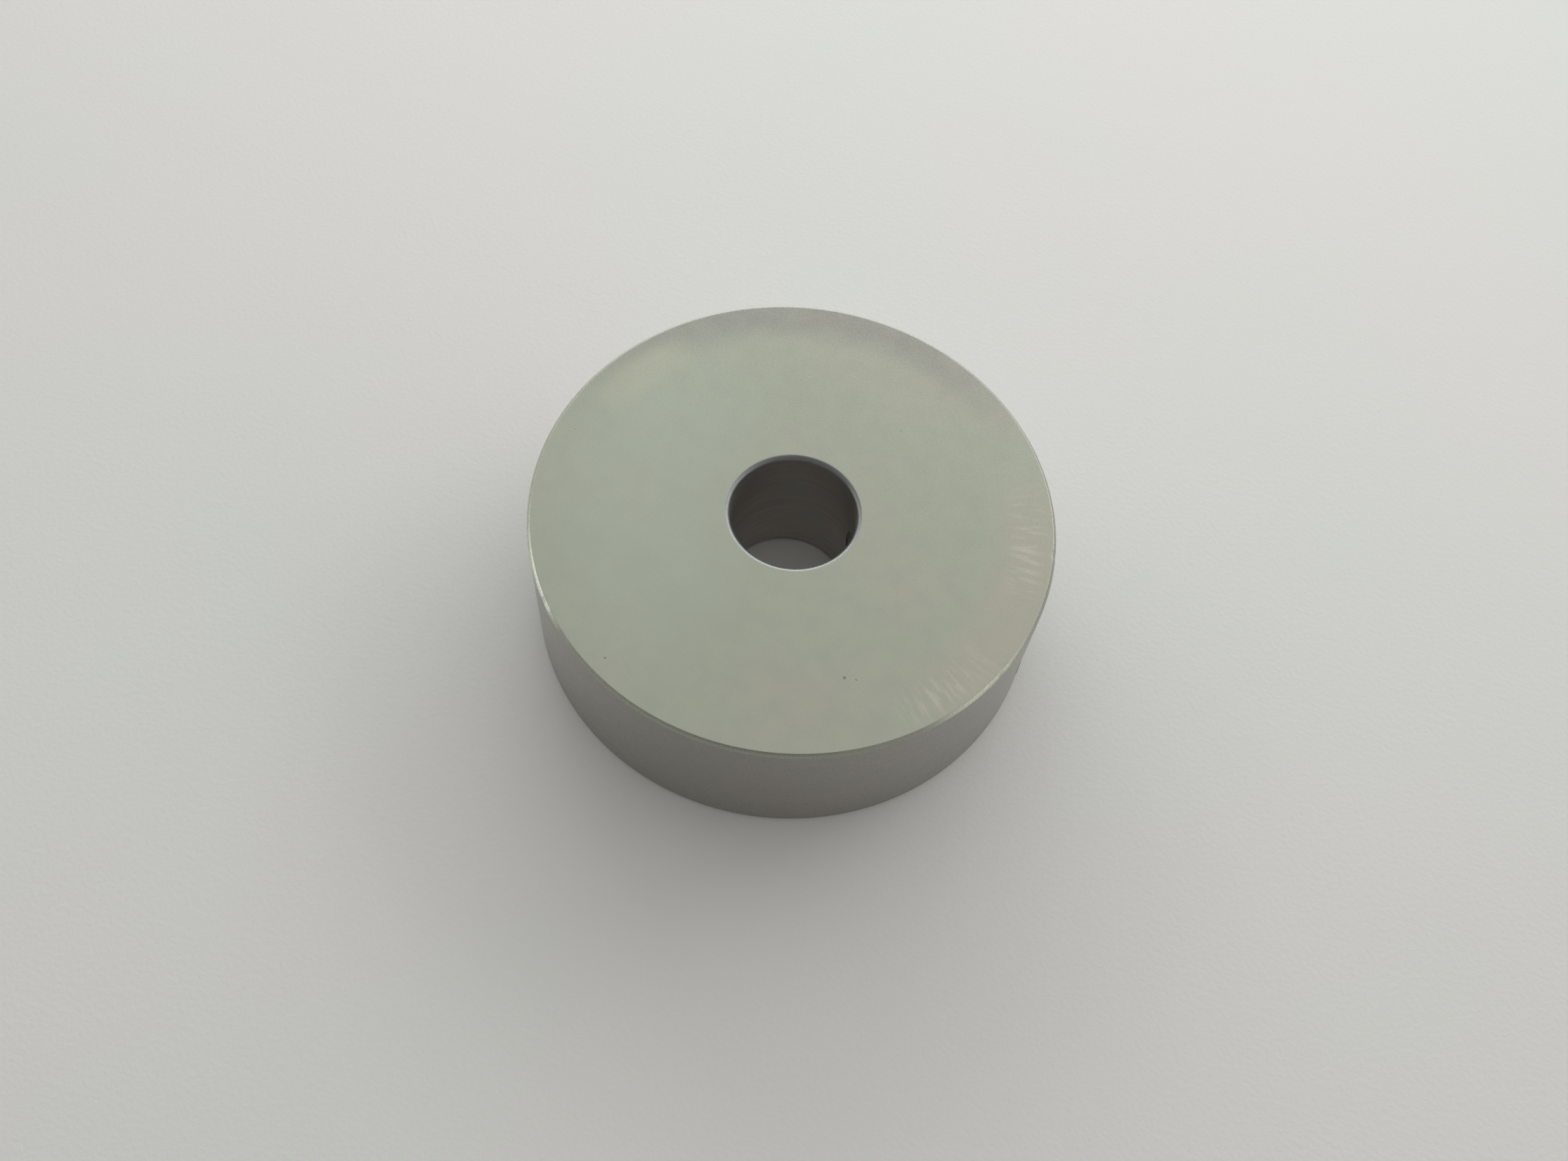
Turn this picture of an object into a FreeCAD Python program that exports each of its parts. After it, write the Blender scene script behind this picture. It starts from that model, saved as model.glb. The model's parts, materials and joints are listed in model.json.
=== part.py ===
"""Set-screw shaft collar: a thick ground ring, one radial set screw and its brass swivel pad.

Row frame, millimetres: +Z is the bore axis, the origin is the centre of the lower face,
and the set screw runs along +X through the ring's wall, at half its width.

    collar_ring       the ring, with its bore and the tapped radial hole
    set_screw         the threaded screw, with a hexagon socket and a seat for the pad's ball
    swivel_pad        the brass pad, held on the screw's inner end by a ball in that seat

The screw and its hole carry real right-hand helical threads, which are in mesh at rest.
"""

import FreeCAD, Part
import os

import Sketcher

Vector = FreeCAD.Vector

# Driving dimensions: alias, value in millimetres (or degrees), what it is.
DIMENSIONS = [
    ("outer_diameter", 33.0, "outside of the ring"),
    ("bore_diameter", 8.0, "shaft size"),
    ("width", 10.0, "ring width along the bore"),
    ("edge_break", 0.2, "45 degree chamfer on the ring's four round edges"),
    ("pitch", 0.8, "M5 coarse thread"),
    ("thread_angle", 60.0, "between a groove's two flanks, in degrees"),
    ("hole_minor", 4.20, "tapped hole, diameter over its crests"),
    ("hole_major", 5.10, "tapped hole, diameter over its roots"),
    ("hole_root_flat", 0.14, "tapped hole, flat at the bottom of the groove"),
    ("mouth_diameter", 5.20, "countersink, diameter at its inner end"),
    ("mouth_depth", 0.45, "countersink, depth below the ring's outside"),
    ("screw_major", 4.92, "screw, diameter over its crests"),
    ("screw_minor", 3.92, "screw, diameter over its roots"),
    ("screw_root_flat", 0.12, "screw, flat at the bottom of the groove"),
    ("screw_length", 8.0, "screw without its pad"),
    ("screw_chamfer", 0.55, "45 degree chamfer at both ends of the screw"),
    ("socket_flats", 2.5, "hexagon socket across flats"),
    ("socket_depth", 2.6, "hexagon socket depth"),
    ("socket_cone", 0.6, "drill point below the hexagon"),
    ("seat_diameter", 2.30, "ball seat in the screw"),
    ("seat_mouth", 1.80, "opening that the swaged lip leaves"),
    ("pad_diameter", 3.70, "brass pad"),
    ("pad_thickness", 1.60, "brass pad without its neck"),
    ("pad_chamfer", 0.25, "45 degree chamfer on the pad's two edges"),
    ("ball_diameter", 2.16, "ball on the pad's neck"),
    ("neck_diameter", 1.50, "neck between pad and ball"),
    ("pad_gap", 0.10, "between the pad and the screw's end face"),
    ("retraction", 0.30, "how far the pad stands back from the bore at rest"),
    ("overrun", 1.0, "how far a cut runs past the surface that it clears"),
    ("cutter_margin", 0.1, "how far a thread's cutting section stands clear of the metal"),
    ("lead_turns", 3.0, "turns that each thread's cutter makes before it reaches the metal"),
]

# Formulas that several features share, written with the aliases above in braces.
SCREW_HEIGHT = "{width} / 2"
PAD_START = "{bore_diameter} / 2 + {retraction}"
SCREW_START = f"{PAD_START} + {{pad_thickness}} + {{pad_gap}}"
SEAT_DEPTH = "sqrt(({seat_diameter} / 2)^2 - ({seat_mouth} / 2)^2)"
FLANK = "tan({thread_angle} / 2)"



def formula(text):
    """Replaces each alias in braces by its cell in the spreadsheet."""
    for alias, _, _ in DIMENSIONS:
        text = text.replace("{" + alias + "}", "Dimensions." + alias)
    return text


def make_sheet(doc):
    """The spreadsheet that holds every driving dimension."""
    sheet = doc.addObject("Spreadsheet::Sheet", "Dimensions")
    for row, (alias, value, note) in enumerate(DIMENSIONS, start=1):
        sheet.set(f"A{row}", alias)
        sheet.set(f"B{row}", str(value))
        sheet.set(f"C{row}", note)
        sheet.setAlias(f"B{row}", alias)
    doc.recompute()
    return sheet


def new_body(doc, node):
    """An empty body whose Label is the node's name."""
    body = doc.addObject("PartDesign::Body", "".join(w.title() for w in node.split("_")))
    body.Label = node
    doc.recompute()
    return body


def along_screw(body, start):
    """Turns a body's own X, Y and Z to the row's Y, Z and X, and moves it out to start."""
    body.Placement = FreeCAD.Placement(Vector(0, 0, 0), FreeCAD.Rotation(Vector(1, 1, 1), 120))
    body.setExpression(".Placement.Base.x", formula(start))
    body.setExpression(".Placement.Base.z", formula(SCREW_HEIGHT))


def finished(body, feature, adds=False, cuts=False):
    """Makes feature the body's tip, recomputes, and stops if it failed or changed nothing."""
    before = 0.0 if body.Shape.isNull() else body.Shape.Volume
    body.Tip = feature
    body.Document.recompute()
    shape = feature.Shape
    if {"Invalid", "Error"} & set(feature.State) or shape.isNull() or not shape.isValid():
        raise RuntimeError(f"{feature.Name} failed: {feature.State}")
    change = shape.Volume - before
    if (adds and change <= 0) or (cuts and change >= 0):
        raise RuntimeError(f"{feature.Name} changed the volume by {change:.4f}")
    return feature


# Sketches ------------------------------------------------------------------------------


def attach(feature, body, role, **offset):
    """Puts a feature on one of the body's origin planes; offset gives formulas for y or z."""
    plane = next(f for f in body.Origin.OriginFeatures if f.Role == role)
    feature.AttachmentSupport = [(plane, "")]
    feature.MapMode = "FlatFace"
    for axis, text in offset.items():
        feature.setExpression(f".AttachmentOffset.Base.{axis}", formula(text))


def new_sketch(body, name, role, **offset):
    """A sketch on one of the body's origin planes."""
    sketch = body.newObject("Sketcher::SketchObject", name)
    attach(sketch, body, role, **offset)
    return sketch


def bind(sketch, constraint, text):
    """Adds a constraint whose value is a formula."""
    sketch.setExpression(f"Constraints[{sketch.addConstraint(constraint)}]", formula(text))


def add_circle(sketch, diameter, height="0"):
    """A circle centred on the sketch's vertical axis, height above its origin."""
    start = Part.Circle(Vector(0, 3, 0), Vector(0, 0, 1), 1)
    circle = sketch.addGeometry(start, False)
    place_point(sketch, circle, 3, "0", height, (0, 3))
    bind(sketch, Sketcher.Constraint("Diameter", circle, 2.0), diameter)


def place_point(sketch, geometry, point, x_text, y_text, near):
    """Holds a point of the sketch at two formulas, or on an axis where the formula is "0"."""
    for kind, text, value, axis in (
        ("DistanceX", x_text, near[0], -2),
        ("DistanceY", y_text, near[1], -1),
    ):
        if text == "0":
            sketch.addConstraint(Sketcher.Constraint("PointOnObject", geometry, point, axis))
        else:
            bind(sketch, Sketcher.Constraint(kind, -1, 1, geometry, point, value), text)


def add_outline(sketch, corners):
    """A closed outline. A corner is (x formula, y formula, a rough place to start from)."""
    places = [Vector(*near, 0) for _, _, near in corners]
    lines = [
        sketch.addGeometry(Part.LineSegment(start, end), False)
        for start, end in zip(places, places[1:] + places[:1])
    ]
    for line, following in zip(lines, lines[1:] + lines[:1]):
        sketch.addConstraint(Sketcher.Constraint("Coincident", line, 2, following, 1))
    for line, (x_text, y_text, near) in zip(lines, corners):
        place_point(sketch, line, 1, x_text, y_text, near)


def add_hexagon(sketch, flats):
    """A hexagon centred on the sketch's origin, with two flats level."""
    turn = FreeCAD.Rotation(Vector(0, 0, 1), 60)
    corners = [Vector(1, 0, 0)]
    while len(corners) < 6:
        corners.append(turn.multVec(corners[-1]))
    lines = [
        sketch.addGeometry(Part.LineSegment(start, end), False)
        for start, end in zip(corners, corners[1:] + corners[:1])
    ]
    rim = sketch.addGeometry(Part.Circle(Vector(0, 0, 0), Vector(0, 0, 1), 1), True)
    sketch.addConstraint(Sketcher.Constraint("Coincident", rim, 3, -1, 1))
    for line, following in zip(lines, lines[1:] + lines[:1]):
        sketch.addConstraint(Sketcher.Constraint("Coincident", line, 2, following, 1))
        sketch.addConstraint(Sketcher.Constraint("PointOnObject", line, 2, rim))
    for line, following in zip(lines[:-1], lines[1:]):
        sketch.addConstraint(Sketcher.Constraint("Equal", line, following))
    sketch.addConstraint(Sketcher.Constraint("PointOnObject", lines[0], 1, -1))
    bind(sketch, Sketcher.Constraint("Diameter", rim, 2.0), f"{flats} / cos(30)")


# Features ------------------------------------------------------------------------------


def pad(body, name, sketch, length):
    """Extrudes a sketch along its plane's normal."""
    feature = body.newObject("PartDesign::Pad", name)
    feature.Profile = sketch
    feature.setExpression("Length", formula(length))
    return finished(body, feature, adds=True)


def pocket(body, name, sketch, depth, along_normal=False):
    """Cuts a sketch against its plane's normal, or along it."""
    feature = body.newObject("PartDesign::Pocket", name)
    feature.Profile = sketch
    feature.Reversed = along_normal
    feature.setExpression("Length", formula(depth))
    return finished(body, feature, cuts=True)


def groove(body, name, sketch, axis):
    """Cuts a sketch turned once round one of its own axes, H_Axis or V_Axis."""
    feature = body.newObject("PartDesign::Groove", name)
    feature.Profile = sketch
    feature.ReferenceAxis = (sketch, [axis])
    feature.Angle = 360
    return finished(body, feature, cuts=True)


def thread_groove(body, name, sketch, axis, height):
    """Cuts a sketch along a right-hand helix round one of its own axes."""
    feature = body.newObject("PartDesign::SubtractiveHelix", name)
    feature.Profile = sketch
    feature.ReferenceAxis = (sketch, [axis])
    feature.Mode = 0
    feature.HasBeenEdited = True
    feature.setExpression("Pitch", formula("{pitch}"))
    feature.setExpression("Height", formula(height))
    return finished(body, feature, cuts=True)


def round_edges(shape):
    """The names of a shape's full circles."""
    names = []
    for number, edge in enumerate(shape.Edges, start=1):
        if isinstance(edge.Curve, Part.Circle) and edge.isClosed():
            names.append(f"Edge{number}")
    return names


def chamfer(body, name, size):
    """Chamfers every full circle that the body has so far."""
    base = body.Tip
    feature = body.newObject("PartDesign::Chamfer", name)
    feature.Base = (base, round_edges(base.Shape))
    feature.setExpression("Size", formula(size))
    return finished(body, feature, cuts=True)


def ball(body, name, kind, diameter, centre):
    """A ball on the body's own Z axis, added or cut."""
    feature = body.newObject(f"PartDesign::{kind}Sphere", name)
    attach(feature, body, "XY_Plane", z=centre)
    feature.setExpression("Radius", formula(f"{diameter} / 2"))
    return finished(body, feature, adds=kind == "Additive", cuts=kind == "Subtractive")


# Sub-parts -----------------------------------------------------------------------------


def make_collar_ring(doc):
    """The ring: faced, bored and chamfered, then drilled and tapped along +X."""
    body = new_body(doc, "collar_ring")
    section = new_sketch(body, "RingSection", "XY_Plane")
    add_circle(section, "{outer_diameter}")
    add_circle(section, "{bore_diameter}")
    pad(body, "Ring", section, "{width}")
    chamfer(body, "EdgeBreak", "{edge_break}")

    # The hole starts on the bore's axis, so that only the wall on the +X side is cut.
    drill = new_sketch(body, "DrillSection", "YZ_Plane")
    add_circle(drill, "{hole_minor}", SCREW_HEIGHT)
    pocket(body, "TapHole", drill, "{outer_diameter} / 2 + {overrun}", along_normal=True)

    mouth = new_sketch(body, "MouthSection", "XY_Plane", z=SCREW_HEIGHT)
    inner = "{outer_diameter} / 2 - {mouth_depth}"
    outer = "{outer_diameter} / 2 + {overrun}"
    outer_radius = "{mouth_diameter} / 2 + {mouth_depth} + {overrun}"
    add_outline(
        mouth,
        [
            (inner, "0", (16, 0)),
            (outer, "0", (17.5, 0)),
            (outer, outer_radius, (17.5, 4)),
            (inner, "{mouth_diameter} / 2", (16, 2.6)),
        ],
    )
    groove(body, "Countersink", mouth, "H_Axis")

    # The thread's groove starts whole pitches out from the bore's axis, still inside the bore.
    start = "{lead_turns} * {pitch}"
    root, foot = "{hole_major} / 2", "{hole_minor} / 2 - {cutter_margin}"
    root_half = "{hole_root_flat} / 2"
    foot_half = f"({root_half} + ({root} - ({foot})) * {FLANK})"
    tap = new_sketch(body, "TapSection", "XY_Plane", z=SCREW_HEIGHT)
    add_outline(
        tap,
        [
            (f"{start} - {foot_half}", foot, (2.0, 2.0)),
            (f"{start} + {foot_half}", foot, (2.8, 2.0)),
            (f"{start} + {root_half}", root, (2.5, 2.5)),
            (f"{start} - {root_half}", root, (2.3, 2.5)),
        ],
    )
    travel = f"{{outer_diameter}} / 2 + {{overrun}} - {start}"
    thread_groove(body, "TapThread", tap, "H_Axis", travel)
    return body


def make_set_screw(doc):
    """The screw, from its inner end at its own origin to the socket end."""
    body = new_body(doc, "set_screw")
    along_screw(body, SCREW_START)
    blank = new_sketch(body, "BlankSection", "XY_Plane")
    add_circle(blank, "{screw_major}")
    pad(body, "Blank", blank, "{screw_length}")
    chamfer(body, "EndChamfers", "{screw_chamfer}")

    # The hole's grooves stand at whole pitches from the bore's axis, on the side where this
    # section is drawn, so the screw's grooves stand half a pitch from those.
    in_mesh = f"mod({{pitch}} / 2 - ({SCREW_START}); {{pitch}}) - {{lead_turns}} * {{pitch}}"
    root, outside = "{screw_minor} / 2", "{screw_major} / 2 + {cutter_margin}"
    root_half = "{screw_root_flat} / 2"
    outside_half = f"({root_half} + ({outside} - {root}) * {FLANK})"
    thread = new_sketch(body, "ThreadSection", "XZ_Plane", y=in_mesh)
    add_outline(
        thread,
        [
            (root, f"{{pitch}} - {root_half}", (1.9, 0.7)),
            (root, f"{{pitch}} + {root_half}", (1.9, 0.9)),
            (outside, f"{{pitch}} + {outside_half}", (2.5, 1.2)),
            (outside, f"{{pitch}} - {outside_half}", (2.5, 0.4)),
        ],
    )
    turned = "{screw_length} + 2 * {lead_turns} * {pitch}"
    thread_groove(body, "Thread", thread, "V_Axis", turned)

    socket = new_sketch(body, "SocketSection", "XY_Plane", z="{screw_length}")
    add_hexagon(socket, "{socket_flats}")
    pocket(body, "Socket", socket, "{socket_depth}")
    point = new_sketch(body, "DrillPoint", "XZ_Plane")
    floor = "{screw_length} - {socket_depth}"
    add_outline(
        point,
        [
            ("0", f"{floor} - {{socket_cone}}", (0, 5)),
            ("{socket_flats} / 2", floor, (1.2, 5.4)),
            ("0", floor, (0, 5.4)),
        ],
    )
    groove(body, "SocketCone", point, "V_Axis")
    ball(body, "BallSeat", "Subtractive", "{seat_diameter}", SEAT_DEPTH)
    return body


def make_swivel_pad(doc):
    """The brass pad, from its contact face at its own origin to the ball in the screw's seat."""
    body = new_body(doc, "swivel_pad")
    along_screw(body, PAD_START)
    disc = new_sketch(body, "DiscSection", "XY_Plane")
    add_circle(disc, "{pad_diameter}")
    pad(body, "Disc", disc, "{pad_thickness}")
    chamfer(body, "DiscChamfers", "{pad_chamfer}")
    reach = f"{{pad_gap}} + {SEAT_DEPTH}"
    neck = new_sketch(body, "NeckSection", "XY_Plane", z="{pad_thickness}")
    add_circle(neck, "{neck_diameter}")
    pad(body, "Neck", neck, reach)
    ball(body, "Ball", "Additive", "{ball_diameter}", f"{{pad_thickness}} + {reach}")
    return body


def main():
    doc = FreeCAD.newDocument("ShaftCollar")
    make_sheet(doc)
    bodies = [make_collar_ring(doc), make_set_screw(doc), make_swivel_pad(doc)]
    doc.recompute()
    failed = [o.Name for o in doc.Objects if {"Invalid", "Error"} & set(o.State)]
    if failed:
        raise RuntimeError(f"these objects failed: {failed}")
    os.makedirs("parts", exist_ok=True)
    for body in bodies:
        shape = body.Shape
        if shape.isNull() or not shape.isValid() or len(shape.Solids) != 1:
            raise RuntimeError(f"{body.Label} isn't one valid solid")
        shape.exportStep(os.path.join("parts", body.Label + ".step"))
        print(f"{body.Label}: {shape.Volume:.2f} mm3, {len(shape.Faces)} faces")


main()
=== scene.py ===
import json
import math
import random

import bmesh
import bpy
from mathutils import Matrix, Vector


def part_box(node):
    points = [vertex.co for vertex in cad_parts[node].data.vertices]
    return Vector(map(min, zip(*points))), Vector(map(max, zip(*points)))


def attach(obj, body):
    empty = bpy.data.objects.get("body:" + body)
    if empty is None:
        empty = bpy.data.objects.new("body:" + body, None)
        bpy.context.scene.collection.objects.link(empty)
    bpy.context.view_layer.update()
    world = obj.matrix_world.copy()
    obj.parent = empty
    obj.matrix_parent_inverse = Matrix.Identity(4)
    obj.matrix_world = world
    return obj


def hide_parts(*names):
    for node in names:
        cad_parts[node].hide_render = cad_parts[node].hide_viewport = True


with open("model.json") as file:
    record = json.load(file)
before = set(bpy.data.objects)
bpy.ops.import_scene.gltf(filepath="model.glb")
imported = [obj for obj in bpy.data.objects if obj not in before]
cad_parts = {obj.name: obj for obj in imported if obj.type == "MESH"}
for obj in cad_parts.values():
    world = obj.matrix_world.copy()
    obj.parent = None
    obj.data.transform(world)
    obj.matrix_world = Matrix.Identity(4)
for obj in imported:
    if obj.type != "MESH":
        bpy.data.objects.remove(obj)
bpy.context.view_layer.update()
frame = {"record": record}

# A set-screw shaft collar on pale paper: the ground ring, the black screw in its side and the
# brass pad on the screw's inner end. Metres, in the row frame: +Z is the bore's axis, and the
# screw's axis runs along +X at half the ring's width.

MM = 0.001

# Sizes from the frame ----------------------------------------------------------------------

BORE = next(m for m in frame["record"]["mounts"] if m["name"] == "bore")
COUPLING = frame["record"]["behaviour"]["couplings"][0]
RING_LOW, RING_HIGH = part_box("collar_ring")
SCREW_LOW, SCREW_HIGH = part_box("set_screw")
PAD_LOW, PAD_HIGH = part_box("swivel_pad")

OUTER_RADIUS = (RING_HIGH[0] - RING_LOW[0]) / 2
WIDTH = RING_HIGH[2] - RING_LOW[2]
BORE_RADIUS = BORE["dims"]["r_mm"] * MM
EDGE_BREAK = (WIDTH - BORE["dims"]["length_mm"] * MM) / 2
SCREW_HEIGHT = (SCREW_LOW[2] + SCREW_HIGH[2]) / 2
SCREW_CREST = (SCREW_HIGH[2] - SCREW_LOW[2]) / 2
PITCH = 2 * math.pi / COUPLING["ratio"]
PAD_RADIUS = (PAD_HIGH[2] - PAD_LOW[2]) / 2

# Sizes that the frame doesn't give, as the CAD has them ------------------------------------

HOLE_CREST = 2.10 * MM
HOLE_ROOT = 2.55 * MM
HOLE_ROOT_FLAT = 0.14 * MM
MOUTH_RADIUS = 3.05 * MM  # a 90 degree countersink
SCREW_ROOT = 1.96 * MM
SCREW_ROOT_FLAT = 0.12 * MM
SCREW_CHAMFER = 0.55 * MM
SOCKET_FLATS = 2.5 * MM
SOCKET_DEPTH = 2.6 * MM
SOCKET_CONE = 0.6 * MM
SOCKET_LEAD_IN = 0.22 * MM
SEAT_RADIUS = 1.15 * MM
SEAT_MOUTH = 0.90 * MM
PAD_THICKNESS = 1.60 * MM
PAD_CHAMFER = 0.25 * MM
NECK_RADIUS = 0.75 * MM
BALL_RADIUS = 1.08 * MM

# Looks -------------------------------------------------------------------------------------

BORE_ROUND = 0.25 * MM  # how round the chamfers' corners are worn at the bore, and at the rim
RIM_ROUND = 0.03 * MM
ROLL_OFF = 0.003 * MM  # how far lapping lowers a face at its outer rim
ROLL_WIDTH = 2.0 * MM
RING_SEGMENTS = 720
THREAD_SEGMENTS = 96
ROUND_SEGMENTS = 128
FLOOR_SEGMENTS = 96
CLEAR = 1 * MM  # how far a cutting tool's open end stands past the surface that it cuts
CREST_EASE = 0.02 * MM  # how worn a thread's crest is: half the width, and a share of the depth
CREST_EASE_DEPTH = 0.06
PAD_WEAR = 0.012 * MM  # how far the pad's face falls away towards its rim
DENTS = 5  # small knocks from handling, in each rim
SEED = 5


# Mesh tools --------------------------------------------------------------------------------


def new_object(name, vertices, faces):
    """A mesh object whose closed surface faces outwards."""
    mesh = bpy.data.meshes.new(name)
    mesh.from_pydata(vertices, [], faces)
    shape = bmesh.new()
    shape.from_mesh(mesh)
    loose = [v for v in shape.verts if not v.link_faces]
    bmesh.ops.delete(shape, geom=loose, context="VERTS")
    bmesh.ops.recalc_face_normals(shape, faces=shape.faces)
    shape.to_mesh(mesh)
    shape.free()
    obj = bpy.data.objects.new(name, mesh)
    bpy.context.scene.collection.objects.link(obj)
    return obj


def round_bore(radius, height, angle):
    """A point round the bore's axis."""
    return (radius * math.cos(angle), radius * math.sin(angle), height)


def round_screw(radius, height, angle):
    """A point round the screw's axis, with height along +X."""
    return (height, radius * math.cos(angle), SCREW_HEIGHT + radius * math.sin(angle))


def turned(name, profile, place, segments, closed=False):
    """A solid of revolution from (radius, height) points, from axis to axis or closed."""
    vertices, rows = [], []
    for radius, height in profile:
        count = 1 if radius == 0 else segments
        rows.append(range(len(vertices), len(vertices) + count))
        vertices += [place(radius, height, math.tau * i / segments) for i in range(count)]
    faces = []
    following = rows[1:] + rows[:1] if closed else rows[1:]
    for low, high in zip(rows, following):
        for i in range(segments):
            j = (i + 1) % segments
            below = (low[i % len(low)], low[j % len(low)])
            above = (high[j % len(high)], high[i % len(high)])
            faces.append(tuple(dict.fromkeys(below + above)))
    return new_object(name, vertices, faces)


def rounded(corners, steps=4):
    """Replaces each (radius, height, rounding) corner of a closed outline by an arc."""
    points = []
    places = [Vector(corner[:2]) for corner in corners]
    for k, here in enumerate(places):
        rounding = corners[k][2]
        before = (places[k - 1] - here).normalized()
        after = (places[(k + 1) % len(places)] - here).normalized()
        half = before.angle(after) / 2
        centre = here + (before + after).normalized() * (rounding / math.sin(half))
        start = here + before * (rounding / math.tan(half)) - centre
        end = here + after * (rounding / math.tan(half)) - centre
        for step in range(steps + 1):
            share = step / steps
            arm = start * (1 - share) + end * share
            points.append(tuple(centre + arm.normalized() * rounding))
    return points


def graded(profile, distances):
    """Adds points near both ends of each long straight run of a closed outline."""
    points = []
    for here, there in zip(profile, profile[1:] + profile[:1]):
        a, b = Vector(here), Vector(there)
        points.append(here)
        length = (b - a).length
        if length > 2.5 * max(distances):
            shares = [d / length for d in distances]
            shares += [1 - s for s in reversed(shares)]
            points += [tuple(a.lerp(b, s)) for s in shares]
    return points


def arc(centre, radius, start, end, steps):
    """Points of (radius, height) round a centre on the axis; 0 degrees is away from the axis."""
    angles = [math.radians(start + (end - start) * i / steps) for i in range(steps + 1)]
    points = [(radius * math.cos(a), centre + radius * math.sin(a)) for a in angles]
    return [(0 if abs(r) < 1e-9 else r, h) for r, h in points]


def threaded(name, crest, root, root_flat, first_turn, turns):
    """A rod with a right-hand 60 degree thread. Its first groove, or its first ridge where root is
    larger than crest, is first_turn pitches from the bore's axis on the +Y side."""
    flat = root_flat / 2
    foot = flat + math.tan(math.radians(30)) * abs(root - crest)
    ease = CREST_EASE
    eased = crest + (root - crest) * CREST_EASE_DEPTH
    one_turn = (
        (-foot - ease, crest),
        (-foot + ease, eased),
        (-flat, root),
        (flat, root),
        (foot - ease, eased),
        (foot + ease, crest),
    )
    step = len(one_turn)
    rows = [((first_turn + n) * PITCH + x, r) for n in range(turns + 1) for x, r in one_turn]
    last = step * turns - 1
    advance = PITCH / THREAD_SEGMENTS
    turn = math.tau / THREAD_SEGMENTS
    vertices = [
        round_screw(radius, height + advance * i, turn * i)
        for height, radius in rows
        for i in range(THREAD_SEGMENTS)
    ]

    def at(row, i):
        return row * THREAD_SEGMENTS + i if i < THREAD_SEGMENTS else at(row + step, 0)

    faces = [
        (at(row, i), at(row, i + 1), at(row + 1, i + 1), at(row + 1, i))
        for row in range(last)
        for i in range(THREAD_SEGMENTS)
    ]
    for row in (0, last):
        rim = [at(row, i) for i in range(THREAD_SEGMENTS + 1)]
        rim += [at(r, 0) for r in range(row + step - 1, row, -1)]
        faces += [(a, b, len(vertices)) for a, b in zip(rim, rim[1:] + rim[:1])]
        vertices.append(round_screw(0, rows[row][0] + PITCH / 2, 0))
    return new_object(name, vertices, faces)


def carve(obj, tool, operation="DIFFERENCE"):
    """Cuts obj with tool, or keeps what they share, and removes the tool."""
    cut = obj.modifiers.new("cut", "BOOLEAN")
    cut.object = tool
    cut.operation = operation
    cut.solver = "EXACT"
    ready = obj.evaluated_get(bpy.context.evaluated_depsgraph_get())
    used = (obj.data, tool.data)
    obj.data = bpy.data.meshes.new_from_object(ready)
    obj.modifiers.clear()
    bpy.data.objects.remove(tool)
    for mesh in used:
        bpy.data.meshes.remove(mesh)


def finish_piece(obj, body, node, sharp=28):
    """Shades a piece smooth up to an angle, and puts it in its node's place."""
    obj.data.polygons.foreach_set("use_smooth", [True] * len(obj.data.polygons))
    obj.data.set_sharp_from_angle(angle=math.radians(sharp))
    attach(obj, body)
    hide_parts(node)


# The ring ----------------------------------------------------------------------------------

# How closely a face has to point along the axis to be one of the ring's flat faces, or away
# from it to be its bore or outside: the cosine of the angle between them.
FLAT_ENOUGH = 0.97
RADIAL_ENOUGH = 0.985
MOUTH_REACH = HOLE_ROOT * 1.25  # holds the whole of the countersink


def ring_profile():
    """The ring's section: four straight sides, four chamfers and the arcs between them."""
    inner, outer, cut = BORE_RADIUS, OUTER_RADIUS, EDGE_BREAK
    corners = [
        (inner, cut, BORE_ROUND),
        (inner + cut, 0, BORE_ROUND),
        (outer - cut, 0, RIM_ROUND),
        (outer, cut, RIM_ROUND),
        (outer, WIDTH - cut, RIM_ROUND),
        (outer - cut, WIDTH, RIM_ROUND),
        (inner + cut, WIDTH, BORE_ROUND),
        (inner, WIDTH - cut, BORE_ROUND),
    ]
    # Points this near the edges, in mm, give the roll-off and the dents something to move.
    near_edges = [d * MM for d in (0.05, 0.11, 0.18, 0.27, 0.40, 0.60, 0.95, 1.40, 1.90)]
    return [lapped(r, z) for r, z in graded(rounded(corners), near_edges)]


def lapped(radius, height):
    """Lowers a face towards its outer rim, as lapping leaves it."""
    share = (radius - (OUTER_RADIUS - ROLL_WIDTH)) / ROLL_WIDTH
    if share <= 0:
        return radius, height
    drop = ROLL_OFF * min(share, 1) ** 2
    to_edge = min(height, WIDTH - height)
    drop *= max(0.0, 1 - to_edge / EDGE_BREAK)
    return radius, height - drop if height > WIDTH / 2 else height + drop


def dent(obj, radius, height, degrees, reach, depth):
    """Pushes an edge of the ring in, at one place."""
    angle = math.radians(degrees)
    centre = Vector(round_bore(radius, height, angle))
    out = -1 if radius > (BORE_RADIUS + OUTER_RADIUS) / 2 else 1
    down = -1 if height > WIDTH / 2 else 1
    push = Vector((out * math.cos(angle), out * math.sin(angle), down)).normalized()
    for vertex in obj.data.vertices:
        share = (vertex.co - centre).length / reach
        if share < 1:
            vertex.co += push * depth * (1 - share**2) ** 2


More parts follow.
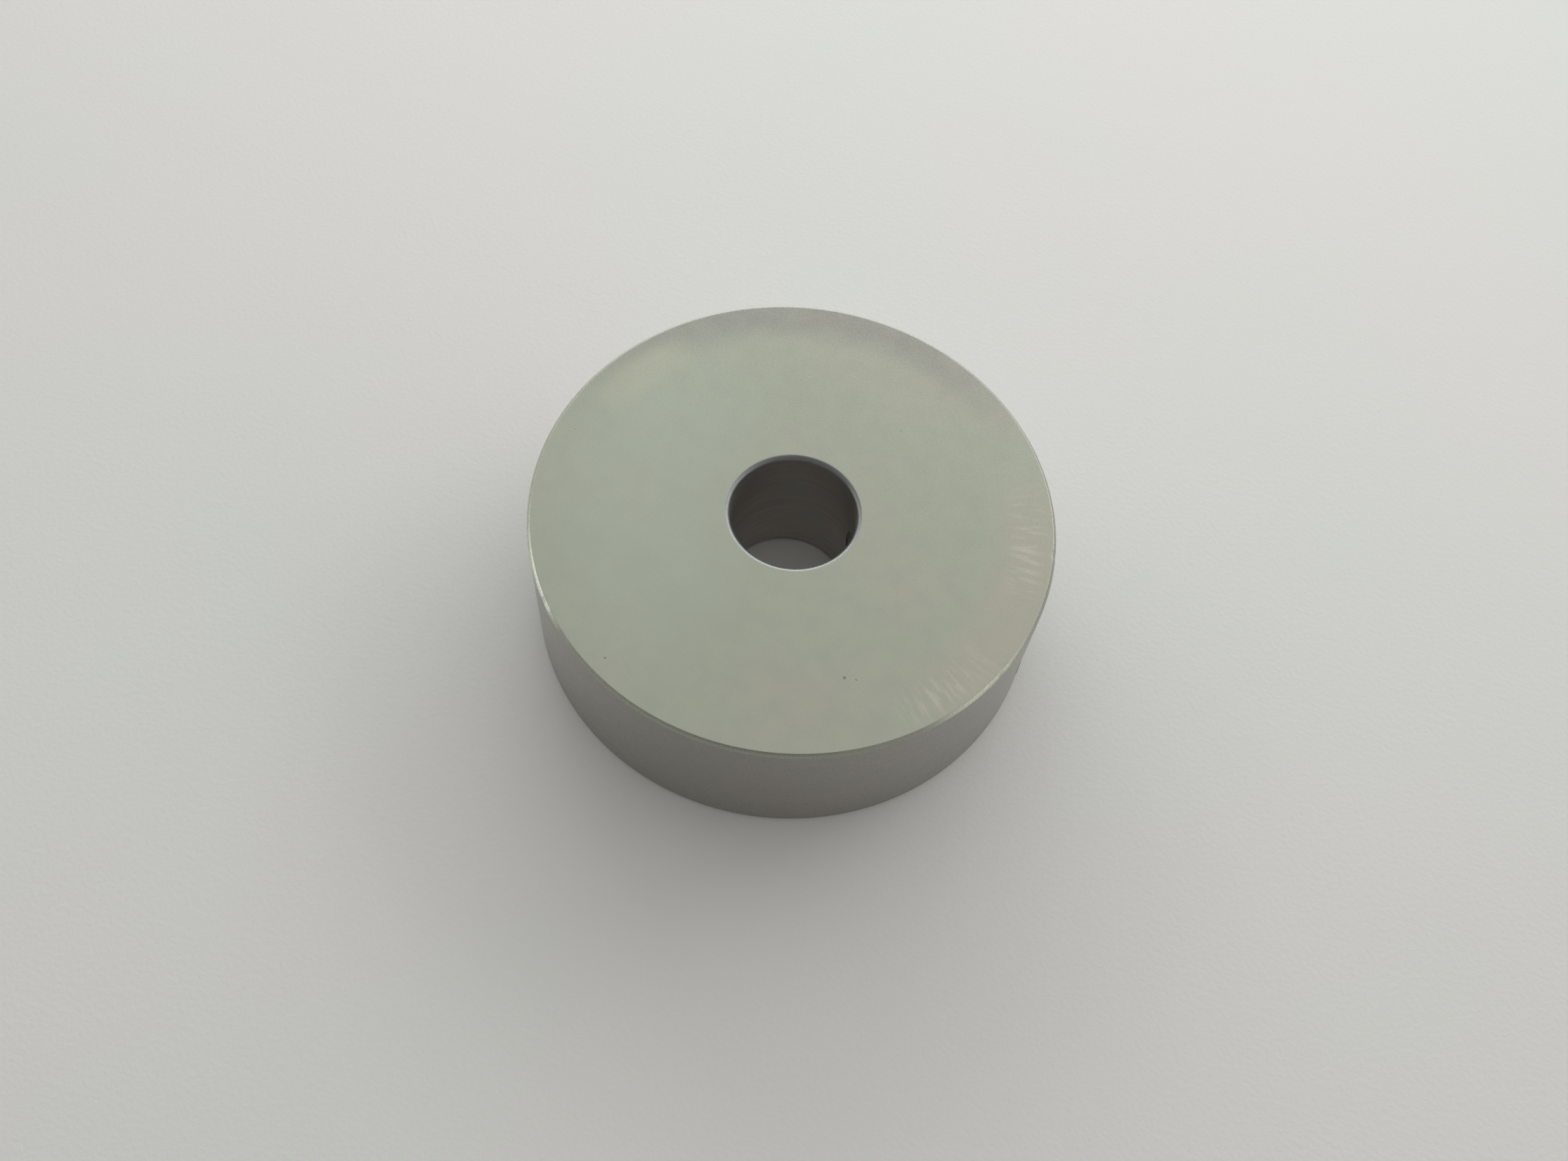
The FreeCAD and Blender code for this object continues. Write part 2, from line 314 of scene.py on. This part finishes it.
def make_ring():
    """The ring, with its dents, its tapped hole and the countersink at the hole's mouth."""
    obj = turned("ground_ring", ring_profile(), round_bore, RING_SEGMENTS, closed=True)
    chance = random.Random(SEED)
    for height in (WIDTH, 0.0):
        for _ in range(DENTS):
            degrees = chance.uniform(0, 360)
            reach = chance.uniform(0.3, 0.7) * MM
            dent(obj, OUTER_RADIUS, height, degrees, reach, chance.uniform(0.01, 0.03) * MM)
    # The tap starts inside the bore and ends outside the ring, clear of the metal.
    first, last = math.floor(BORE_RADIUS / PITCH) - 2, math.ceil(OUTER_RADIUS / PITCH) + 1
    carve(obj, threaded("tap", HOLE_CREST, HOLE_ROOT, HOLE_ROOT_FLAT, first, last - first))
    tip = HOLE_CREST * 0.98  # just inside the thread's crests, so that the cone reaches the hole
    mouth = [
        (0, OUTER_RADIUS + tip - MOUTH_RADIUS),
        (tip, OUTER_RADIUS + tip - MOUTH_RADIUS),
        (MOUTH_RADIUS + CLEAR, OUTER_RADIUS + CLEAR),
        (0, OUTER_RADIUS + CLEAR),
    ]
    carve(obj, turned("mouth", mouth, round_screw, ROUND_SEGMENTS))
    sort_ring_faces(obj)
    finish_piece(obj, "collar", "collar_ring")


def sort_ring_faces(obj):
    """Gives each of the ring's surfaces its own material."""
    looks = (ground_face(), turned_side(), reamed_bore(), cut_edge(), tapped_hole())
    for look in looks:
        obj.data.materials.append(look)
    flat, outside, bore_wall, edge, hole = range(len(looks))
    chamfer = EDGE_BREAK * 1.02  # and a hair past it
    for face in obj.data.polygons:
        radius = math.hypot(face.center.x, face.center.y)
        if drilled(face):
            face.material_index = hole
        elif abs(face.normal.z) > FLAT_ENOUGH:
            face.material_index = flat
        elif not chamfer < face.center.z < WIDTH - chamfer:
            face.material_index = edge
        elif radius < BORE_RADIUS + EDGE_BREAK / 2:
            face.material_index = bore_wall
        else:
            face.material_index = outside


def drilled(face):
    """Whether a face belongs to the radial hole or its countersink: near its axis, and neither the
    bore's wall nor the outside."""
    x, y, z = face.center
    near = x > 0 and math.hypot(y, z - SCREW_HEIGHT) < MOUTH_REACH
    across = abs(face.normal.x * x + face.normal.y * y) / math.hypot(x, y)
    return near and across < RADIAL_ENOUGH


# The screw and its pad ---------------------------------------------------------------------


def make_screw():
    """The set screw: a threaded rod cut to a chamfered blank, then its socket and ball seat."""
    inner, outer = SCREW_LOW[0], SCREW_HIGH[0]
    first = math.floor(inner / PITCH) - 1.5
    turns = math.ceil((outer - inner) / PITCH) + 3
    obj = threaded("socket_screw", SCREW_CREST, SCREW_ROOT, SCREW_ROOT_FLAT, first, turns)
    small = SCREW_CREST - SCREW_CHAMFER
    ease = 0.06 * MM
    blank = [
        (0, inner),
        (small - ease, inner),
        (small, inner + ease * 0.4),
        (SCREW_CREST + ease, inner + SCREW_CHAMFER + ease),
        (SCREW_CREST + ease, outer - SCREW_CHAMFER - ease),
        (small, outer - ease * 0.4),
        (small - ease, outer),
        (0, outer),
    ]
    carve(obj, turned("blank", blank, round_screw, ROUND_SEGMENTS), "INTERSECT")
    floor = outer - SOCKET_DEPTH
    corner = SOCKET_FLATS / math.sqrt(3)
    hexagon = [(0, floor), (corner, floor), (corner, outer + CLEAR), (0, outer + CLEAR)]
    carve(obj, turned("hexagon", hexagon, round_screw, 6))
    half = SOCKET_FLATS / 2
    cone = [(0, floor - SOCKET_CONE), (half, floor), (half, floor + CLEAR), (0, floor + CLEAR)]
    carve(obj, turned("drill_point", cone, round_screw, ROUND_SEGMENTS))
    wide = half + 2 * SOCKET_LEAD_IN
    low, high = outer - SOCKET_LEAD_IN, outer + SOCKET_LEAD_IN
    lead_in = [(0, low), (half, low), (wide, high), (0, high)]
    carve(obj, turned("lead_in", lead_in, round_screw, ROUND_SEGMENTS))
    seat = arc(seat_centre(), SEAT_RADIUS, -90, 90, 32)
    carve(obj, turned("seat", seat, round_screw, ROUND_SEGMENTS))
    obj.data.materials.append(black_oxide())
    finish_piece(obj, "screw", "set_screw")


def seat_centre():
    """Where the centre of the ball and its seat lies along the screw's axis."""
    return SCREW_LOW[0] + math.sqrt(SEAT_RADIUS**2 - SEAT_MOUTH**2)


def make_pad():
    """The pad: a disc with eased corners and a slightly worn face, then its neck and ball."""
    face, back = PAD_LOW[0], PAD_LOW[0] + PAD_THICKNESS
    ease = 0.05 * MM
    meets = -math.degrees(math.acos(NECK_RADIUS / BALL_RADIUS))
    profile = [
        (0, face),
        (PAD_RADIUS * 0.3, face),
        (PAD_RADIUS * 0.8, face + PAD_WEAR / 3),
        (PAD_RADIUS - PAD_CHAMFER - ease, face + PAD_WEAR),
        (PAD_RADIUS - PAD_CHAMFER + ease * 0.7, face + ease * 1.2),
        (PAD_RADIUS - ease * 0.7, face + PAD_CHAMFER - ease * 0.7),
        (PAD_RADIUS, face + PAD_CHAMFER + ease),
        (PAD_RADIUS, back - PAD_CHAMFER - ease),
        (PAD_RADIUS - ease * 0.7, back - PAD_CHAMFER + ease * 0.7),
        (PAD_RADIUS - PAD_CHAMFER + ease * 0.7, back - ease),
        (PAD_RADIUS - PAD_CHAMFER - ease, back),
        (NECK_RADIUS + 2 * ease, back),
        (NECK_RADIUS + ease * 0.6, back + ease * 0.6),
        (NECK_RADIUS, back + 2 * ease),
    ]
    profile += arc(seat_centre(), BALL_RADIUS, meets, 90, 28)
    obj = turned("brass_pad", profile, round_screw, ROUND_SEGMENTS)
    obj.data.materials.append(turned_brass())
    finish_piece(obj, "pad", "swivel_pad", sharp=35)


# Materials ---------------------------------------------------------------------------------

PATCH_CORE = 0.2  # the share of a soft patch's reach that has its full strength
PIT_CORE = 0.4  # and the share of a pit's radius


class Look:
    """A node material in millimetres, with the distance from an axis, the direction from it and
    the height along it to hand. The axis is the bore's or the screw's."""

    def __init__(self, name, axis="bore", metallic=1.0):
        self.material = bpy.data.materials.new(name)
        self.material.use_nodes = True
        self.tree = self.material.node_tree
        self.shader = self.tree.nodes["Principled BSDF"]
        self.shader.inputs["Metallic"].default_value = metallic
        metres = self.node("ShaderNodeTexCoord").outputs["Object"]
        self.place = self.vector("MULTIPLY", metres, (1 / MM, 1 / MM, 1 / MM))
        x, y, z = self.split(self.place)
        if axis == "bore":
            flat, self.height = self.joined(x, y, 0), z
        else:
            flat, self.height = self.joined(y, self.math("SUBTRACT", z, SCREW_HEIGHT / MM), 0), x
        self.radius = self.vector("LENGTH", flat)
        self.direction = self.vector("NORMALIZE", flat)

    def node(self, kind, **settings):
        made = self.tree.nodes.new(kind)
        for name, value in settings.items():
            setattr(made, name, value)
        return made

    def fill(self, socket, value):
        if isinstance(value, bpy.types.NodeSocket):
            self.tree.links.new(value, socket)
        else:
            socket.default_value = value

    def math(self, operation, *values):
        made = self.node("ShaderNodeMath", operation=operation)
        for socket, value in zip(made.inputs, values):
            self.fill(socket, value)
        return made.outputs[0]

    def vector(self, operation, *values):
        made = self.node("ShaderNodeVectorMath", operation=operation)
        for socket, value in zip(made.inputs, values):
            self.fill(socket, value)
        gives_number = operation in ("LENGTH", "DISTANCE", "DOT_PRODUCT")
        return made.outputs["Value" if gives_number else "Vector"]

    def split(self, vector):
        made = self.node("ShaderNodeSeparateXYZ")
        self.fill(made.inputs[0], vector)
        return made.outputs

    def joined(self, *values):
        made = self.node("ShaderNodeCombineXYZ")
        for socket, value in zip(made.inputs, values):
            self.fill(socket, value)
        return made.outputs[0]

    def swept(self, around, along):
        """Noise coordinates for marks that run round the axis, or out from it."""
        x, y, _ = self.split(self.direction)
        x, y = self.math("MULTIPLY", x, around), self.math("MULTIPLY", y, around)
        return self.joined(x, y, along)

    def patch(self, degrees, half_angle, radius, half_width):
        """A soft patch on a face: 1 in the middle, 0 past half_angle degrees or half_width mm."""
        angle = math.radians(degrees)
        aim = (math.cos(angle), math.sin(angle), 0)
        facing = self.vector("DOT_PRODUCT", self.direction, aim)
        edge = math.cos(math.radians(half_angle))
        middle = math.cos(math.radians(half_angle * PATCH_CORE))
        off = self.math("ABSOLUTE", self.math("SUBTRACT", self.radius, radius))
        radial = self.spread(off, half_width, half_width * PATCH_CORE)
        return self.math("MULTIPLY", self.spread(facing, edge, middle), radial)

    def noise(self, place, scale, detail=2.0, roughness=0.5):
        made = self.node("ShaderNodeTexNoise")
        self.fill(made.inputs["Vector"], place)
        self.fill(made.inputs["Scale"], scale)
        self.fill(made.inputs["Detail"], detail)
        self.fill(made.inputs["Roughness"], roughness)
        return made.outputs[0]

    def ranged(self, noise, to_low=0.0, to_high=1.0):
        """Takes the values that most of a noise has to to_low..to_high."""
        return self.spread(noise, 0.3, 0.7, to_low, to_high)

    def spread(self, value, low, high, to_low=0.0, to_high=1.0):
        """Takes low..high to to_low..to_high, smoothly, and stops there."""
        made = self.node("ShaderNodeMapRange", interpolation_type="SMOOTHSTEP")
        names = ("Value", "From Min", "From Max", "To Min", "To Max")
        for name, number in zip(names, (value, low, high, to_low, to_high)):
            self.fill(made.inputs[name], number)
        return made.outputs[0]

    def blend(self, share, first, second):
        """A colour: the first where share is 0, the second where it is 1."""
        made = self.node("ShaderNodeMix", data_type="RGBA")
        self.fill(made.inputs["Factor"], share)
        self.fill(made.inputs[6], first)  # the sockets that hold the colours A and B
        self.fill(made.inputs[7], second)
        return made.outputs[2]

    def bump(self, height, depth, strength=1.0, normal=None):
        """Relief, where height runs 0 to 1 over depth millimetres."""
        made = self.node("ShaderNodeBump")
        self.fill(made.inputs["Height"], height)
        self.fill(made.inputs["Distance"], depth * MM)
        self.fill(made.inputs["Strength"], strength)
        if normal:
            self.fill(made.inputs["Normal"], normal)
        return made.outputs[0]

    def pits(self, cell, radius, share):
        """Small spots, one in some of the cells: 1 inside a spot, 0 outside."""
        made = self.node("ShaderNodeTexVoronoi")
        self.fill(made.inputs["Vector"], self.place)
        self.fill(made.inputs["Scale"], 1 / cell)
        chosen = self.math("GREATER_THAN", self.split(made.outputs["Color"])[0], 1 - share)
        spot = self.spread(made.outputs["Distance"], radius / cell, PIT_CORE * radius / cell)
        return self.math("MULTIPLY", spot, chosen)

    def hairlines(self, degrees, spacing, length, amount):
        """Fine straight scratches across the bore's faces: 1 on a scratch, 0 elsewhere."""
        made = self.node("ShaderNodeVectorRotate", rotation_type="Z_AXIS")
        self.fill(made.inputs["Vector"], self.place)
        self.fill(made.inputs["Angle"], math.radians(degrees))
        drawn_out = self.vector("MULTIPLY", made.outputs[0], (1 / spacing, 1 / length, 0))
        return self.spread(self.noise(drawn_out, 1.0, 1.0), 1 - amount, 1 - amount + 0.06)

    def use(self, colour, roughness, normal=None):
        self.fill(self.shader.inputs["Base Color"], colour)
        self.fill(self.shader.inputs["Roughness"], roughness)
        if normal:
            self.fill(self.shader.inputs["Normal"], normal)
        return self.material


# Soft patches on the faces: degrees round from +X, half angle, radius and half width in mm,
# strength and colour. The first is painted shade, a brownish darkening of the face along the rear
# rim; the others are lighter, tinted patches at the upper left, by the right rim and over the left
# half.
TINTS_AND_PAINTED_SHADE = (
    # Painted shade: darkens the face along the rear rim.
    (109, 75, 16.2, 3.4, 0.80, (0.400, 0.385, 0.360, 1)),
    (153, 18, 14.3, 1.8, 0.75, (0.680, 0.650, 0.500, 1)),
    (-4, 44, 14.8, 3.4, 0.60, (0.630, 0.570, 0.495, 1)),
    (190, 85, 10.0, 8.0, 0.55, (0.600, 0.670, 0.565, 1)),
)
# Pits there: degrees round from +X, then distance from the axis and radius in mm.
PITS = ((-56, 11.8, 0.14), (-53, 12.1, 0.08), (-117, 15.3, 0.10), (62, 9.4, 0.07))
# Scuffed places by the rim: degrees, half angle, radius and half width in mm.
SCUFFS = ((-33, 16, 14.9, 1.7), (12, 20, 14.7, 1.5))


def ground_face():
    """Lapped steel: even satin grey with faint tinted patches, painted shade along the rear rim,
    scuffs by the rim and a few pits.
    """
    look = Look("ground_face")
    cloud = look.noise(look.place, 0.10, 3)
    blotch = look.noise(look.place, 0.5, 2)
    mottle = look.noise(look.place, 0.7, 4, 0.5)
    grain = look.noise(look.place, 7, 3, 0.5)

    green, warm = (0.545, 0.580, 0.475, 1), (0.580, 0.575, 0.485, 1)
    colour = look.blend(look.spread(cloud, 0.38, 0.66), green, warm)
    colour = look.blend(look.spread(mottle, 0.35, 0.70, 0.0, 0.35), colour, (0.50, 0.505, 0.44, 1))
    # Tinted patches, and the painted shade along the rear rim.
    for degrees, half_angle, radius, half_width, strength, tint in TINTS_AND_PAINTED_SHADE:
        tint_and_shade = look.patch(degrees, half_angle, radius, half_width)
        uneven = look.spread(blotch, 0.30, 0.65, 0.7 * strength, strength)
        colour = look.blend(look.math("MULTIPLY", tint_and_shade, uneven), colour, tint)

    # Scuffs are short radial streaks.
    drawn_out = look.swept(42, look.math("MULTIPLY", look.radius, 0.45))
    streak = look.spread(look.noise(drawn_out, 1.0, 3, 0.6), 0.46, 0.68)
    worn = look.math("MAXIMUM", *(look.patch(*place) for place in SCUFFS))
    scuff = look.math("MULTIPLY", streak, worn)
    colour = look.blend(look.math("MULTIPLY", scuff, 0.66), colour, (0.76, 0.70, 0.61, 1))

    colour = look.blend(look.spread(grain, 0.32, 0.68, 0.0, 0.26), colour, (0.42, 0.435, 0.38, 1))
    pit = look.pits(2.9, 0.07, 0.22)
    for degrees, radius, size in PITS:
        centre = round_bore(radius, WIDTH / MM, math.radians(degrees))
        away = look.vector("DISTANCE", look.place, centre)
        pit = look.math("MAXIMUM", pit, look.spread(away, size, PIT_CORE * size))
    colour = look.blend(look.math("MULTIPLY", pit, 0.65), colour, (0.20, 0.19, 0.16, 1))

    scratch = look.hairlines(28, 0.10, 9, 0.27)
    scratch = look.math("ADD", scratch, look.hairlines(-51, 0.12, 6, 0.26))
    rough = look.ranged(grain, 0.26, 0.33)
    rough = look.math("SUBTRACT", rough, look.math("MULTIPLY", scratch, 0.04))
    relief = look.bump(grain, 0.0004)
    relief = look.bump(look.math("SUBTRACT", 1, scratch), 0.0008, normal=relief)
    relief = look.bump(look.math("SUBTRACT", 1, pit), 0.006, normal=relief)
    return look.use(colour, rough, relief)


def turned_side():
    """The turned outside: fine lines round the ring, and a base colour darker than the faces' as
    painted shade.
    """
    look = Look("turned_side")
    lines = look.noise(look.swept(0.9, look.math("MULTIPLY", look.height, 14)), 1.0, 4, 0.6)
    feed = look.noise(look.swept(0.4, look.math("MULTIPLY", look.height, 4)), 1.0, 2)
    cloud = look.noise(look.place, 0.16, 3)
    grain = look.noise(look.place, 9, 3, 0.6)
    # Painted shade: this base colour is darker than the faces' and stands for the shaded floor
    # that the side reflects.
    cold, warm = (0.415, 0.415, 0.39, 1), (0.435, 0.42, 0.40, 1)
    colour = look.blend(look.spread(cloud, 0.35, 0.65), cold, warm)
    colour = look.blend(look.spread(lines, 0.35, 0.7, 0.0, 0.22), colour, (0.33, 0.325, 0.31, 1))
    colour = look.blend(look.spread(grain, 0.35, 0.65, 0.0, 0.34), colour, (0.28, 0.275, 0.26, 1))
    rough = look.ranged(lines, 0.25, 0.34)
    rough = look.math("ADD", rough, look.ranged(grain, 0.0, 0.05))
    relief = look.bump(lines, 0.0025)
    relief = look.bump(feed, 0.004, normal=relief)
    relief = look.bump(grain, 0.0005, normal=relief)
    return look.use(colour, rough, relief)


def reamed_bore():
    """The bore's wall: reamed steel with marks round it and a little brown oil."""
    look = Look("reamed_bore")
    marks = look.noise(look.swept(0.8, look.math("MULTIPLY", look.height, 11)), 1.0, 3)
    mottle = look.noise(look.place, 0.7, 3)
    clean, brown = (0.50, 0.495, 0.475, 1), (0.54, 0.495, 0.465, 1)
    colour = look.blend(look.spread(mottle, 0.35, 0.65), clean, brown)
    colour = look.blend(look.spread(marks, 0.4, 0.7, 0.0, 0.3), colour, (0.36, 0.345, 0.33, 1))
    return look.use(colour, look.ranged(marks, 0.36, 0.48), look.bump(marks, 0.004))


def cut_edge():
    """The broken edges: light and smooth at the outer rims, where hands polish them, duller at the
    bore, and darker there as painted shade.
    """
    look = Look("cut_edge")
    lines = look.noise(look.swept(2.5, look.math("MULTIPLY", look.height, 16)), 1.0, 3)
    grain = look.noise(look.place, 8, 2)
    rim = look.spread(look.radius, BORE_RADIUS / MM + 2, OUTER_RADIUS / MM - 2)
    # Painted shade: the bore's edges get a darker copy of the edge colour, which dims their lines
    # of light.
    shaded_edge = look.blend(look.ranged(lines), (0.27, 0.285, 0.290, 1), (0.24, 0.250, 0.250, 1))
    bright = look.blend(look.ranged(lines), (0.50, 0.51, 0.445, 1), (0.44, 0.445, 0.395, 1))
    rough = look.ranged(grain, 0.40, 0.48)
    rough = look.math("SUBTRACT", rough, look.math("MULTIPLY", rim, 0.15))
    return look.use(look.blend(rim, shaded_edge, bright), rough, look.bump(lines, 0.0002))


def tapped_hole():
    """The tapped hole: cut steel, with painted shade in the thread's roots and cutting marks along
    the thread.
    """
    look = Look("tapped_hole", axis="screw")
    along = look.math("ADD", look.math("MULTIPLY", look.radius, 14), look.height)
    marks = look.noise(look.swept(0.8, along), 1.0, 3)
    # Painted shade: the colour darkens towards the thread's roots.
    root_shade = look.spread(look.radius, HOLE_CREST / MM + 0.05, HOLE_ROOT / MM)
    colour = look.blend(root_shade, (0.50, 0.49, 0.46, 1), (0.22, 0.21, 0.195, 1))
    return look.use(colour, look.ranged(marks, 0.28, 0.42), look.bump(marks, 0.003))


def black_oxide():
    """Black oxide with a film of oil, rubbed to grey on the thread's crests."""
    look = Look("black_oxide", axis="screw", metallic=0.75)
    mottle = look.noise(look.place, 2.2, 4)
    grain = look.noise(look.place, 22, 2)
    flecks = look.spread(look.noise(look.place, 7, 3), 0.42, 0.62)
    crest = look.spread(look.radius, SCREW_CREST / MM - 0.07, SCREW_CREST / MM)
    bare = look.math("MULTIPLY", crest, look.math("MULTIPLY", flecks, 0.75))
    black = look.blend(look.ranged(mottle), (0.050, 0.051, 0.055, 1), (0.095, 0.090, 0.084, 1))
    colour = look.blend(bare, black, (0.34, 0.33, 0.31, 1))
    rough = look.ranged(mottle, 0.34, 0.46)
    rough = look.math("SUBTRACT", rough, look.math("MULTIPLY", bare, 0.10))
    return look.use(colour, rough, look.bump(grain, 0.003))


def turned_brass():
    """Turned brass: fine rings on the pad's face, browned in places."""
    look = Look("turned_brass", axis="screw")
    along = look.math("MULTIPLY", look.math("ADD", look.radius, look.height), 16)
    tool = look.noise(look.swept(0.3, along), 1.0, 2)
    mottle = look.noise(look.place, 1.6, 4)
    colour = look.blend(look.ranged(mottle), (0.80, 0.60, 0.29, 1), (0.66, 0.46, 0.22, 1))
    colour = look.blend(look.spread(tool, 0.4, 0.75, 0.0, 0.25), colour, (0.50, 0.35, 0.17, 1))
    return look.use(colour, look.ranged(tool, 0.20, 0.32), look.bump(tool, 0.004))


def paper():
    """The floor: matt, pale, with the faint cloud and tooth of paper."""
    look = Look("paper", metallic=0.0)
    cloud = look.noise(look.place, 0.02, 3)
    tooth = look.noise(look.place, 3.0, 4)
    green, pink = (0.780, 0.782, 0.757, 1), (0.806, 0.778, 0.762, 1)
    colour = look.blend(look.spread(cloud, 0.35, 0.65), green, pink)
    return look.use(colour, 0.85, look.bump(tooth, 0.02))


# Floor, light and camera -------------------------------------------------------------------

AMBIENT_FRONT = 0.18
AMBIENT_BACK = 0.72
SOFTBOX_SPREAD = math.radians(85)
FLOOR_GAP = 0.02 * MM
FLAT_RADIUS = 0.8
SWEEP_RADIUS = 0.5  # the floor curves up all round into a pale wall

# The view: the camera's pitch below the horizon, its roll and its heading from the -Y side,
# and where the centre of the ring's upper face lies from it, in ring radii to the right, up
# and ahead.
PITCH_DOWN = 60.3
ROLL = 6.43
HEADING = 14.0
FACE_FROM_CAMERA = (0.037, 0.2605, 5.726)
FOCAL_LENGTH = 34.8  # mm on a frame 36 mm wide


def add_floor():
    """A round floor that sweeps up into a wall, like a seamless paper background."""
    steps = 12
    profile = [(0, -FLOOR_GAP)]
    for step in range(steps + 1):
        bend = math.pi / 2 * step / steps
        rise = SWEEP_RADIUS * (1 - math.cos(bend))
        profile.append((FLAT_RADIUS + SWEEP_RADIUS * math.sin(bend), rise - FLOOR_GAP))
    floor = turned("floor", profile, round_bore, FLOOR_SEGMENTS)
    floor.data.polygons.foreach_set("use_smooth", [True] * len(floor.data.polygons))
    floor.data.materials.append(paper())


def softbox(name, azimuth, elevation, distance, size, brightness, colour):
    """A rectangular light with a grid, aimed at the ring. Azimuth is in degrees from +X towards
    +Y, size is width and height, and brightness is how bright its face looks from ahead."""
    width, height = size
    half = SOFTBOX_SPREAD / 2
    focus = 1 - half / math.tan(half)  # a narrower spread needs less energy for the same look
    light = bpy.data.lights.new(name, "AREA")
    light.shape = "RECTANGLE"
    light.size = width
    light.size_y = height
    light.spread = SOFTBOX_SPREAD
    light.energy = brightness * math.pi * width * height * focus
    light.color = colour
    obj = bpy.data.objects.new(name, light)
    bpy.context.scene.collection.objects.link(obj)
    level = math.cos(math.radians(elevation))
    x = level * math.cos(math.radians(azimuth))
    y = level * math.sin(math.radians(azimuth))
    towards = Vector((x, y, math.sin(math.radians(elevation))))
    obj.location = towards * distance
    obj.rotation_euler = towards.to_track_quat("Z", "Y").to_euler()


def add_light():
    """Even studio light, dimmer on the camera's side, and six softboxes."""
    world = bpy.data.worlds.new("studio")
    world.use_nodes = True
    tree = world.node_tree
    toward = tree.nodes.new("ShaderNodeTexCoord")
    apart = tree.nodes.new("ShaderNodeSeparateXYZ")
    level = tree.nodes.new("ShaderNodeMapRange")
    level.inputs["From Min"].default_value = -1
    level.inputs["To Min"].default_value = AMBIENT_FRONT
    level.inputs["To Max"].default_value = AMBIENT_BACK
    background = tree.nodes["Background"]
    background.inputs["Color"].default_value = (0.98, 1.0, 0.97, 1)
    tree.links.new(toward.outputs["Generated"], apart.inputs[0])
    tree.links.new(apart.outputs["Y"], level.inputs["Value"])
    tree.links.new(level.outputs[0], background.inputs["Strength"])
    bpy.context.scene.world = world
    softbox("window", 110, 18, 0.24, (0.24, 0.11), 4.9, (0.96, 0.98, 1.0))
    softbox("window_right", 64, 24, 0.24, (0.20, 0.13), 2.9, (1.0, 0.99, 0.98))
    softbox("window_left", 148, 20, 0.24, (0.20, 0.12), 1.6, (0.97, 1.0, 0.96))
    softbox("lamp", 38, 30, 0.28, (0.20, 0.12), 1.0, (1.0, 0.99, 0.97))
    softbox("left", 183, 9, 0.60, (0.36, 0.12), 2.3, (0.97, 1.0, 0.94))
    softbox("right", 7, 17, 0.60, (0.52, 0.14), 1.4, (1.0, 1.0, 0.90))


def add_camera():
    """The camera at the photograph's viewing angle."""
    data = bpy.data.cameras.new("camera")
    data.sensor_width = 36
    data.lens = FOCAL_LENGTH
    data.clip_start = 1 * MM
    camera = bpy.data.objects.new("camera", data)
    bpy.context.scene.collection.objects.link(camera)
    turn = Matrix.Rotation(math.radians(HEADING), 3, "Z")
    turn @= Matrix.Rotation(math.radians(90 - PITCH_DOWN), 3, "X")
    turn @= Matrix.Rotation(math.radians(ROLL), 3, "Z")
    right, up, ahead = FACE_FROM_CAMERA
    offset = turn @ Vector((right, up, -ahead)) * OUTER_RADIUS
    place = Vector((0, 0, WIDTH)) - offset
    camera.matrix_world = Matrix.LocRotScale(place, turn.to_quaternion(), None)
    bpy.context.scene.camera = camera


make_ring()
make_screw()
make_pad()
add_floor()
add_light()
add_camera()
bpy.context.scene.view_settings.view_transform = "Standard"
